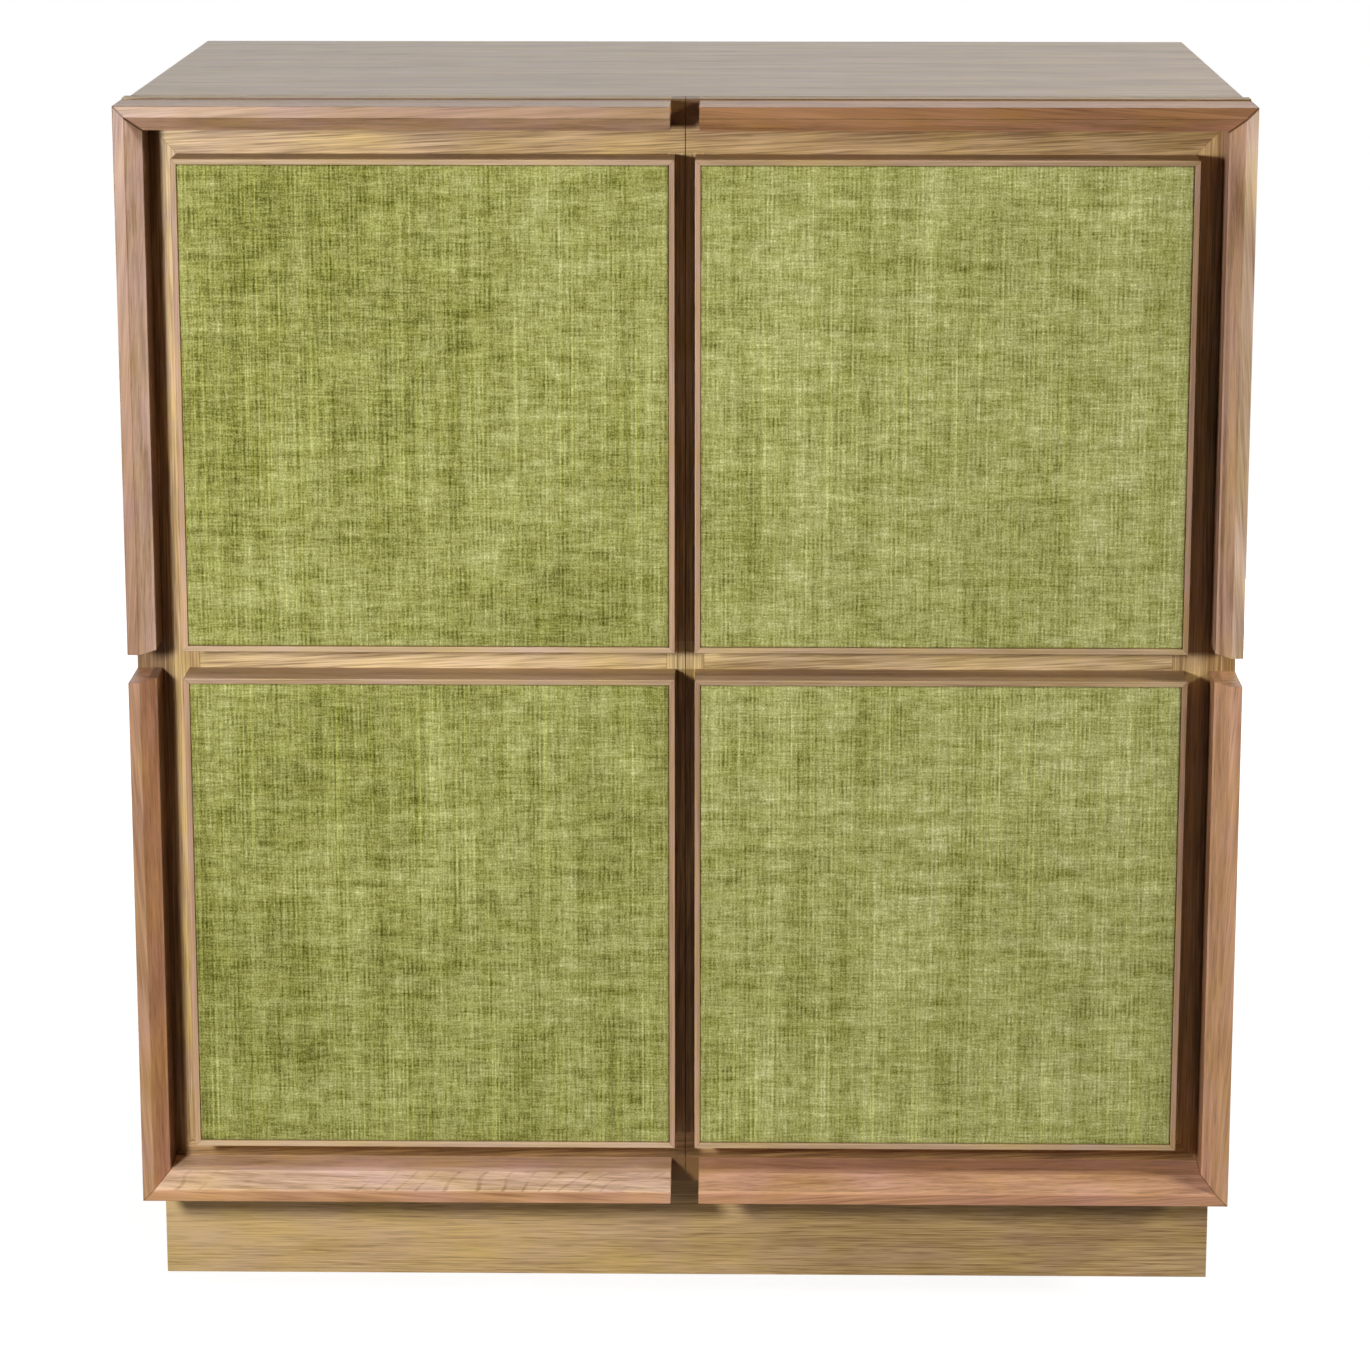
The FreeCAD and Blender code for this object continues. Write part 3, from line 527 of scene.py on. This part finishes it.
print(len(finishes), "door finishes with the mouldings")

# %% [markdown]
# A rim is a small frame of its own, and its masks come from its box, so one function serves all four.
# Its sides get painted shade, darker than its front, and its upright strips are redder than the level ones.

# %% Rims
RIM_FRONT = 0.003     # metres of a rim's depth that count as its front
RIM_HIGHLIGHT = 0.001      # metres of its front with a painted highlight
RIM_MITRE = 0.0003    # metres


def rim_marks(low, high):
    """The mask of the upright strips of a rim in a box, and its marks, each a mask with its shade."""
    rim_frame = (span(low[X], high[X]), span(low[Z], high[Z]))
    upright = strips_upright(*rim_frame)

    def sides(tree):
        """1 on the sides of the rim, which get painted shade, darker than its front."""
        return beyond(tree, Y, low[Y] + RIM_FRONT)

    def upright_sides(tree):
        """1 on the upright sides, which get more painted shade than the level ones."""
        return calc(tree, "MULTIPLY", upright(tree), sides(tree))

    def rim_edge_painted_highlight(tree):
        """1 on the outer edge of the front, where a highlight is painted."""
        return calc(tree, "LESS_THAN", insets(tree, *rim_frame, "MINIMUM"), RIM_HIGHLIGHT)

    def paler_below(tree):
        """From 1 at the bottom, where the level strip is paler, to -1 at the top."""
        return ramp(tree, place_along(tree, Z), low[Z], high[Z], 1.0, -1.0)

    mitres = mitre_line(*rim_frame, RIM_MITRE)
    return upright, ((mitres, -0.35), (sides, -0.12), (upright_sides, -0.22), (rim_edge_painted_highlight, 0.10),
                     (paler_below, 0.10))


for number, side in enumerate(SIDES):
    for level in LEVELS:
        rim = f"{side}_door_{level}_panel_rim"
        upright, marks = rim_marks(*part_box(rim))
        finishes[rim] = lacquered_wood(
            f"cherry_rim_lacquered_{side}_{level}", "#C8A981", X, seed=50 + 3 * number + len(level),
            rings=(20, 0.03), streak=3, contrast=0.8, fibre=CHERRY, upright=upright, part=upright,
            part_tone="#C29C79", marks=marks)
print(len(finishes), "door finishes in wood")

# %% [markdown]
# ## Wood of the case
# Top, sides, plinth and the inside are oak veneer too, a shade greyer than the doors. The grain runs
# along each board: across on the top, the bottom, the shelves and the plinth's front, and upright on
# the sides, the partition and the back. Painted light makes the plinth's front paler towards its left
# end and darker towards its right, and painted shade darkens its top, under the mouldings.

# %% Case finishes
CASE_BOARDS = (    # tone, axis of the grain and roughness of each board
    ("case_top", "#CAAB84", X, 0.34), ("case_bottom", "#B0926A", X, 0.42),
    ("case_side_left", "#A68862", Z, 0.40), ("case_side_right", "#A68862", Z, 0.40),
    ("centre_partition", "#B0926A", Z, 0.42), ("back_panel", "#B0946E", Z, 0.50),
    ("shelf_left", "#B4976E", X, 0.42), ("shelf_right", "#B4976E", X, 0.42),
    ("plinth_front", "#CAAA75", X, 0.42), ("plinth_back", "#A08258", X, 0.45),
    ("plinth_side_left", "#A48558", Y, 0.42), ("plinth_side_right", "#A48558", Y, 0.42),
)
PLINTH_HALF = 0.47               # metres from the middle over which the painted light on the plinth changes
SHADE_FADES, SHADE_ENDS = 0.022, 0.032    # metres below the plinth's top where the painted shade begins to fade and ends


def plinth_painted_light_falloff(tree):
    """From 1 at the left end of the plinth to -1 at the right end: painted light, paler left, darker right.
    """
    return ramp(tree, place_along(tree, X), -PLINTH_HALF, PLINTH_HALF, 1.0, -1.0)


def plinth_top_painted_shade(tree):
    """1 on the top of the plinth's front, under the mouldings, fading below: painted shade."""
    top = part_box("plinth_front")[1][Z]
    return ramp(tree, place_along(tree, Z), top - SHADE_ENDS, top - SHADE_FADES)


for number, (board, tone, axis, rough) in enumerate(CASE_BOARDS):
    plinth = board == "plinth_front"
    finishes[board] = lacquered_wood(
        f"oak_veneer_lacquered_{board}", tone, axis, seed=70 + 4 * number, rough=rough, rings=(16, 0.03),
        streak=1.8 if plinth else 2.6, contrast=1.3 if board == "case_top" else 1.0,
        fibre=(60, 0.90) if plinth else OAK,
        marks=((plinth_painted_light_falloff, 0.17), (plinth_top_painted_shade, -0.30)) if plinth else ())
beech = lacquered_wood("beech_sawn", "#C9A57C", Z, seed=130, rings=(8, 0.03), rough=0.62)
for piece in ("plinth_corner_blocks", "case_dowels"):
    finishes[piece] = beech
print(len(finishes), "finishes in wood")

# %% [markdown]
# ## Board, metal and plastic
# The pads sit on cores of plain fibreboard, which is felted and pressed and so shows fine mottled
# fibres. Hinges are brushed brass, with marks along the knuckles. Screws and strike plates are steel
# with a bright zinc plating, cloudy at close range. The catches are moulded brown plastic.

# %% Board, metal and plastic
def mottled(name, dark, light, size, stretch=(1, 1, 1), rough=(0.4, 0.6), relief=0.0001, metallic=0.0):
    """Noise of a size in millimetres, drawn out along an axis, sets colour, roughness and relief."""
    finish, tree = new_finish(name)
    scale = [1000 / size / s for s in stretch]
    cloudy = noise(tree, add(tree, "Mapping", {"Vector": object_place(tree), "Scale": scale}), 4.0, 0.65)
    colour = add(tree, "ValToRGB", {0: cloudy}, stops=((0.3, linear(dark)), (0.7, linear(light))))
    bump = add(tree, "Bump", {"Strength": 0.4, "Distance": relief, "Height": cloudy})
    body = add(tree, "BsdfPrincipled", {
        "Base Color": colour, "Roughness": ramp(tree, cloudy, 0.3, 0.7, *rough), "Normal": bump,
        "Metallic": metallic})
    add(tree, "OutputMaterial", {"Surface": body})
    return finish


fibreboard = mottled("fibreboard_pressed", "#9A7A55", "#B79A74", 2.5, rough=(0.75, 0.9))
brass = mottled("brass_brushed", "#A8854A", "#C9A565", 1.2, (1, 1, 14), (0.24, 0.42), 0.00003, 1.0)
zinc = mottled(
    "steel_zinc_plated", "#9FA3A6", "#C6C9CB", 3.0, rough=(0.28, 0.45), relief=0.00003, metallic=1.0)
plastic = mottled("abs_moulded_brown", "#3A2A1E", "#4A372A", 0.9, rough=(0.42, 0.55), relief=0.00005)
for side in SIDES:
    door = f"{side}_door_"
    for level in LEVELS:
        finishes[f"{door}{level}_panel_core"] = fibreboard
    finishes[door + "hinge_leaves"] = brass
    for piece in ("panel_screws", "hinge_screws", "strike_plate"):
        finishes[door + piece] = zinc
for piece in ("hinge_case_leaves", "hinge_pins"):
    finishes[piece] = brass
for piece in ("shelf_pins", "back_panel_screws", "catch_screws", "hinge_case_screws"):
    finishes[piece] = zinc
finishes["door_catches"] = plastic
for name, finish in finishes.items():
    nodes[name].data.materials.clear()
    nodes[name].data.materials.append(finish)
print("left for the pads:", sorted(set(nodes) - set(finishes)))

# %% [markdown]
# ## Velvet
# The facings are an olive strié velvet: a woven pile whose upright threads differ in tone, so fine
# dark and light streaks run up the cloth, crossed by short slubs and bands of the weft. Where the pile
# leans another way there are patches, and where it lies flat the ribs of the weave show. Painted light
# makes the cloth a shade lighter towards the right, evening out the key lamp's fall. A few threads are
# pale and yellower over their whole length. Ribs are drawn at the 4 mm spacing that shows, and
# fibres standing off the cloth give it a sheen.

# %% Velvet
RIB_SPACING = 0.0040    # metres
GREYER_TONES = ("#45460A", "#747432", "#A3A25B", "#C6C683", "#ECEBB2")
YELLOWER_TONES = ("#464800", "#777926", "#A3A44D", "#C5C775", "#E9EB9C")


def strie_velvet():
    """Layers of noise, each with a width and a height in millimetres, are added up by weight."""
    finish, tree = new_finish("cotton_velvet_strie_olive")
    place = object_place(tree)

    def threads(width, height, detail, shift):
        """Noise of a width across the cloth and a height up it."""
        scale = (1000 / width, 60.0, 1000 / height)
        vector = add(tree, "Mapping", {"Vector": place, "Location": (shift, shift, -shift), "Scale": scale})
        return noise(tree, vector, detail)

    across = add(tree, "SeparateXYZ", {0: place}, output=X)
    ribs = calc(tree, "SINE", calc(tree, "MULTIPLY", across, 2 * np.pi / RIB_SPACING))
    patches = threads(27, 14, 2.0, 9)
    ribs = calc(tree, "MULTIPLY", ribs, ramp(tree, patches, 0.56, 0.40))
    pale = ramp(tree, threads(1.5, 330, 0.0, 17), 0.65, 0.73)
    layers = (
        (threads(1.9, 150, 0.0, 1), 0.42),     # single upright threads
        (threads(24, 420, 1.0, 3), 0.50),      # broad upright bands
        (threads(2.0, 16, 1.0, 5), 0.75),      # short upright streaks
        (threads(150, 8, 1.0, 7), 0.46),       # level bands
        (threads(17, 1.7, 1.0, 11), 0.85),     # level slubs
        (patches, 0.62), (threads(120, 90, 1.0, 29), 0.42),
        (threads(1.6, 1.6, 1.0, 13), 1.15))    # fuzz
    middle = sum(weight for _, weight in layers) / 2
    shade = 0.0
    # the last term, across, is painted light: the cloth grows lighter towards the right
    for layer, weight in (*layers, (ribs, 0.13), (pale, 0.20), (across, 0.30)):
        shade = calc(tree, "MULTIPLY_ADD", layer, weight, shade)
    shade = ramp(tree, shade, middle - 0.79, middle + 0.68)
    greyer, yellower = [
        add(tree, "ValToRGB", {0: shade}, stops=[(n / 4, linear(code)) for n, code in enumerate(codes)])
        for codes in (GREYER_TONES, YELLOWER_TONES)]
    turned = ramp(tree, threads(34, 20, 2.0, 41), 0.35, 0.65, 0.0, 0.45)
    colour = mix_colours(tree, calc(tree, "MAXIMUM", turned, pale), greyer, yellower)
    bump = add(tree, "Bump", {"Strength": 0.25, "Distance": 0.0003, "Height": shade})
    cloth = add(tree, "BsdfPrincipled", {
        "Base Color": colour, "Roughness": 0.9, "Normal": bump, "Specular IOR Level": 0.2,
        "Sheen Weight": 0.12, "Sheen Roughness": 0.45, "Sheen Tint": opaque(linear("#C8C88C"))})
    add(tree, "OutputMaterial", {"Surface": cloth})
    return finish


velvet = strie_velvet()
print("velvet:", velvet.name)

# %% [markdown]
# ## Padded facings
# Each panel is faced with a thin pad: velvet stretched over wadding and tucked behind the rim. It is
# tight, so it has a slight crown, and near the rim it rolls over by about 2 mm. A scaled block would
# have hard edges. A grid that is denser at the border, with its depth from a formula, gives the
# rolled edge exactly. The crown comes from a cloth simulation with a little pressure from behind.

# %% Pad surface
ROLL = 0.0018    # radius of the edge
CELLS = 40       # grid cells across the flat part
BEND = 7         # grid points round the edge, with the one where it begins


def edge_places(half):
    """Places along a side: even over the middle, and by equal angles of a quarter circle at each end."""
    bend = half - ROLL + ROLL * np.sin(np.linspace(0, np.pi / 2, BEND))
    flat = np.linspace(-(half - ROLL), half - ROLL, CELLS + 1)
    return np.concatenate([-bend[:0:-1], flat, bend[1:]])


def pad_mesh(name, low, high):
    """A closed pad in a box: a front grid with a rolled edge, a flat back grid, and a wall between them.

    A front point's depth is the roll's radius less the height of a quarter circle over the distance by
    which it passes the flat part, taken round the corner as one distance.
    """
    (x_mid, x_half), (z_mid, z_half) = span(low[X], high[X]), span(low[Z], high[Z])
    x, z = np.meshgrid(edge_places(x_half), edge_places(z_half), indexing="ij")
    past = np.hypot(np.maximum(abs(x) - x_half + ROLL, 0), np.maximum(abs(z) - z_half + ROLL, 0))
    # At a corner the two edges' circles meet, so a point beyond the circle is drawn back onto it.
    pull = np.where(past > ROLL, ROLL / np.maximum(past, ROLL), 1.0)
    x = np.sign(x) * (np.minimum(abs(x), x_half - ROLL) + np.maximum(abs(x) - x_half + ROLL, 0) * pull)
    z = np.sign(z) * (np.minimum(abs(z), z_half - ROLL) + np.maximum(abs(z) - z_half + ROLL, 0) * pull)
    depth = ROLL - np.sqrt(np.maximum(ROLL ** 2 - np.minimum(past, ROLL) ** 2, 0))
    front = np.stack([x_mid + x, low[Y] + depth, z_mid + z], axis=-1)
    back = np.stack([x_mid + x, np.full_like(x, high[Y]), z_mid + z], axis=-1)
    rows, columns = x.shape
    index = np.arange(rows * columns).reshape(rows, columns)
    quads = np.stack([index[:-1, :-1], index[1:, :-1], index[1:, 1:], index[:-1, 1:]], axis=-1)
    quads = quads.reshape(-1, 4)
    border = np.concatenate([index[:-1, 0], index[-1, :-1], index[:0:-1, -1], index[0, :0:-1]])
    after = np.roll(border, -1)
    behind = rows * columns
    wall = np.stack([border, border + behind, after + behind, after], axis=-1)
    faces = np.concatenate([quads, quads[:, ::-1] + behind, wall])
    mesh = bpy.data.meshes.new(name)
    mesh.from_pydata(np.concatenate([front, back]).reshape(-1, 3), [], faces.tolist())
    mesh.update()
    return mesh, index[BEND:-BEND, BEND:-BEND].ravel()


box_low, box_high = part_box("left_door_upper_panel_velvet")
trial, free = pad_mesh("trial", box_low, box_high)
print("a pad has", len(trial.vertices), "points, of which", len(free), "are free of the rim")
bpy.data.meshes.remove(trial)

# %% [markdown]
# The simulation holds the back, the wall and the rolled edge still, and lets the flat part swell for
# a few frames. A cap keeps the swelling to a millimetre, which is all that taut velvet shows, and
# the result is written back into the mesh, so no simulation is left on the piece.

# %% Pads
CROWN = 0.0010     # metres
PRESSURE = 4.0
FRAMES = 12


def swell(piece, free):
    """Move the free points as cloth under pressure does, each by no more than the crown."""
    held = piece.vertex_groups.new(name="held")
    fixed = np.setdiff1d(np.arange(len(piece.data.vertices)), free)
    held.add(fixed.tolist(), 1.0, "REPLACE")
    cloth = piece.modifiers.new("cloth", "CLOTH")
    cloth.settings.vertex_group_mass = held.name
    cloth.settings.use_pressure = True
    cloth.settings.uniform_pressure_force = PRESSURE
    cloth.settings.effector_weights.gravity = 0.0
    rest = np.empty(len(piece.data.vertices) * 3)
    piece.data.vertices.foreach_get("co", rest)
    for count in range(1, FRAMES + 1):
        bpy.context.scene.frame_set(count)
    swollen = piece.evaluated_get(bpy.context.evaluated_depsgraph_get()).data
    after = np.empty_like(rest)
    swollen.vertices.foreach_get("co", after)
    outward = np.minimum(after[Y::3] - rest[Y::3], 0)
    rest[Y::3] += outward * min(1.0, CROWN / max(-outward.min(), 1e-9))
    piece.modifiers.remove(cloth)
    piece.vertex_groups.remove(held)
    piece.data.vertices.foreach_set("co", rest)
    piece.data.update()
    bpy.context.scene.frame_set(1)
    return -outward.min()


for side in SIDES:
    for level in LEVELS:
        solid = f"{side}_door_{level}_panel_velvet"
        mesh, free = pad_mesh(f"{side}_{level}_velvet_pad", *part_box(solid))
        mesh.polygons.foreach_set("use_smooth", np.ones(len(mesh.polygons), dtype=bool))
        pad = bpy.data.objects.new(mesh.name, mesh)
        bpy.context.collection.objects.link(pad)
        raised = swell(pad, free)
        pad.data.materials.append(velvet)
        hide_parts(solid)
        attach(pad, f"{side}_door")
        print(pad.name, "swelled by", round(raised * 1000, 2), "mm before the cap")

# %% [markdown]
# ## Floor
# The photograph has an even white ground. A pale paper floor, which the camera sees as nearly white and
# further out as white, keeps a faint shadow round the plinth.

# %% Floor
WHITE = (1.0, 1.0, 1.0, 1.0)
FAINT_GREY = (0.26, 0.26, 0.26, 1.0)
FLOOR_HALF, FLOOR_DROP = 12, 0.0005    # metres from the middle, and below the feet


def seen_plainly(tree, path):
    """1 for rays that come from the camera, also through something clear."""
    return calc(tree, "MAXIMUM", path.outputs["Is Camera Ray"], path.outputs["Is Transmission Ray"])


def paper_floor():
    """Pale paper: for the camera a white that grows with distance, with a little light on it, else grey."""
    finish, tree = new_finish("paper_pale_matt")
    away = add(tree, "VectorMath", {0: object_place(tree)}, output=1, operation="LENGTH")
    plain = add(tree, "BsdfDiffuse", {"Color": ramp(tree, away, 0.40, 0.85, 0.50, 0.05)})
    faint = add(tree, "BsdfDiffuse", {"Color": FAINT_GREY})
    glow = add(tree, "Emission", {"Color": WHITE, "Strength": ramp(tree, away, 0.5, 1.6, 0.86, 1.0)})
    lit = add(tree, "AddShader", {0: faint, 1: glow})
    path = add(tree, "LightPath").node
    mirrored = calc(tree, "MULTIPLY", path.outputs["Is Glossy Ray"], 0.15)
    seen = calc(tree, "MAXIMUM", seen_plainly(tree, path), mirrored)
    add(tree, "OutputMaterial", {"Surface": add(tree, "MixShader", {0: seen, 1: plain, 2: lit})})
    return finish


size = np.linspace(-FLOOR_HALF, FLOOR_HALF, 2)
x, y = np.meshgrid(size, size, indexing="ij")
sheet = bpy.data.meshes.new("floor")
sheet.from_pydata(np.stack([x, y, 0 * x - FLOOR_DROP], axis=-1).reshape(-1, 3), [], [(0, 2, 3, 1)])
floor = bpy.data.objects.new("floor", sheet)
floor.data.materials.append(paper_floor())
bpy.context.collection.objects.link(floor)
floor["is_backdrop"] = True
print("floor", [round(c, 1) for c in floor.dimensions], "m")

# %% [markdown]
# ## World
# The world is white to the camera and, behind the piece, in reflections. The studio in front is dim,
# so the channels stay dark.

# %% World
AMBIENT = 0.008
world = bpy.data.worlds.new("studio")
world.use_nodes = True
bpy.context.scene.world = world
tree = world.node_tree
tree.nodes.clear()
path = add(tree, "LightPath").node
ahead = add(tree, "SeparateXYZ", {0: add(tree, "TexCoord")}, output=Y)
mirrored = ramp(tree, ahead, -0.25, 0.15, 0.05, 1.0)
mirrored = calc(tree, "MULTIPLY", mirrored, path.outputs["Is Glossy Ray"])
clear = calc(tree, "MAXIMUM", seen_plainly(tree, path), mirrored)
strength = calc(tree, "MAXIMUM", clear, AMBIENT)
add(tree, "OutputWorld", {"Surface": add(tree, "Background", {"Color": WHITE, "Strength": strength})})
print("world:", world.name, "with", AMBIENT, "of white as ambient light")

# %% [markdown]
# ## Lamps
# The key lamp stands close, to the front left and a little above the top, which the shadows in the
# photograph give away: narrow in the left channel and wide in the right one. A lamp high and far out at
# the right grazes the front, so it lights the left bevels and hardly reaches into the channels, and
# lamps behind the front's plane light the sides and the back.

# %% Lamps
def lamp(name, place, target, width, power, mirrored=False):
    """A square area lamp at a place, turned so that it shines at a target.

    Only the key lamp is seen in reflections. The others would show as white patches on the lacquer.
    """
    light = bpy.data.lights.new(name, "AREA")
    light.size, light.energy = width, power
    holder = bpy.data.objects.new(name, light)
    aim = Vector(target) - Vector(place)
    holder.matrix_world = Matrix.Translation(place) @ aim.to_track_quat("-Z", "Y").to_matrix().to_4x4()
    holder.visible_glossy = mirrored
    bpy.context.collection.objects.link(holder)
    print(name, "is", round(aim.length, 2), "m away")


lamp("key", (-1.09, -2.37, 1.16), (0.0, -0.3, 0.58), 0.30, 43.3, mirrored=True)
lamp("right_graze", (4.6, -1.9, 3.2), (0.0, -0.3, 0.6), 0.8, 150)
lamp("left_side", (-3.0, 1.2, 0.95), (-0.5, 0.1, 0.6), 2.0, 60)
lamp("right_side", (3.0, 1.2, 0.95), (0.5, 0.1, 0.6), 2.0, 48)
lamp("back", (0.5, 3.0, 0.52), (0.0, 0.3, 0.55), 1.0, 60)

# %% [markdown]
# ## Size
# The dressed model is meant to stay in the box of the solids, and both boxes are printed side by side.

# %% Size and finish
boxes = {"cad": cad_box, "visual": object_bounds()}
boxes = {name: [[float(c) for c in corner] for corner in box] for name, box in boxes.items()}
print(boxes)
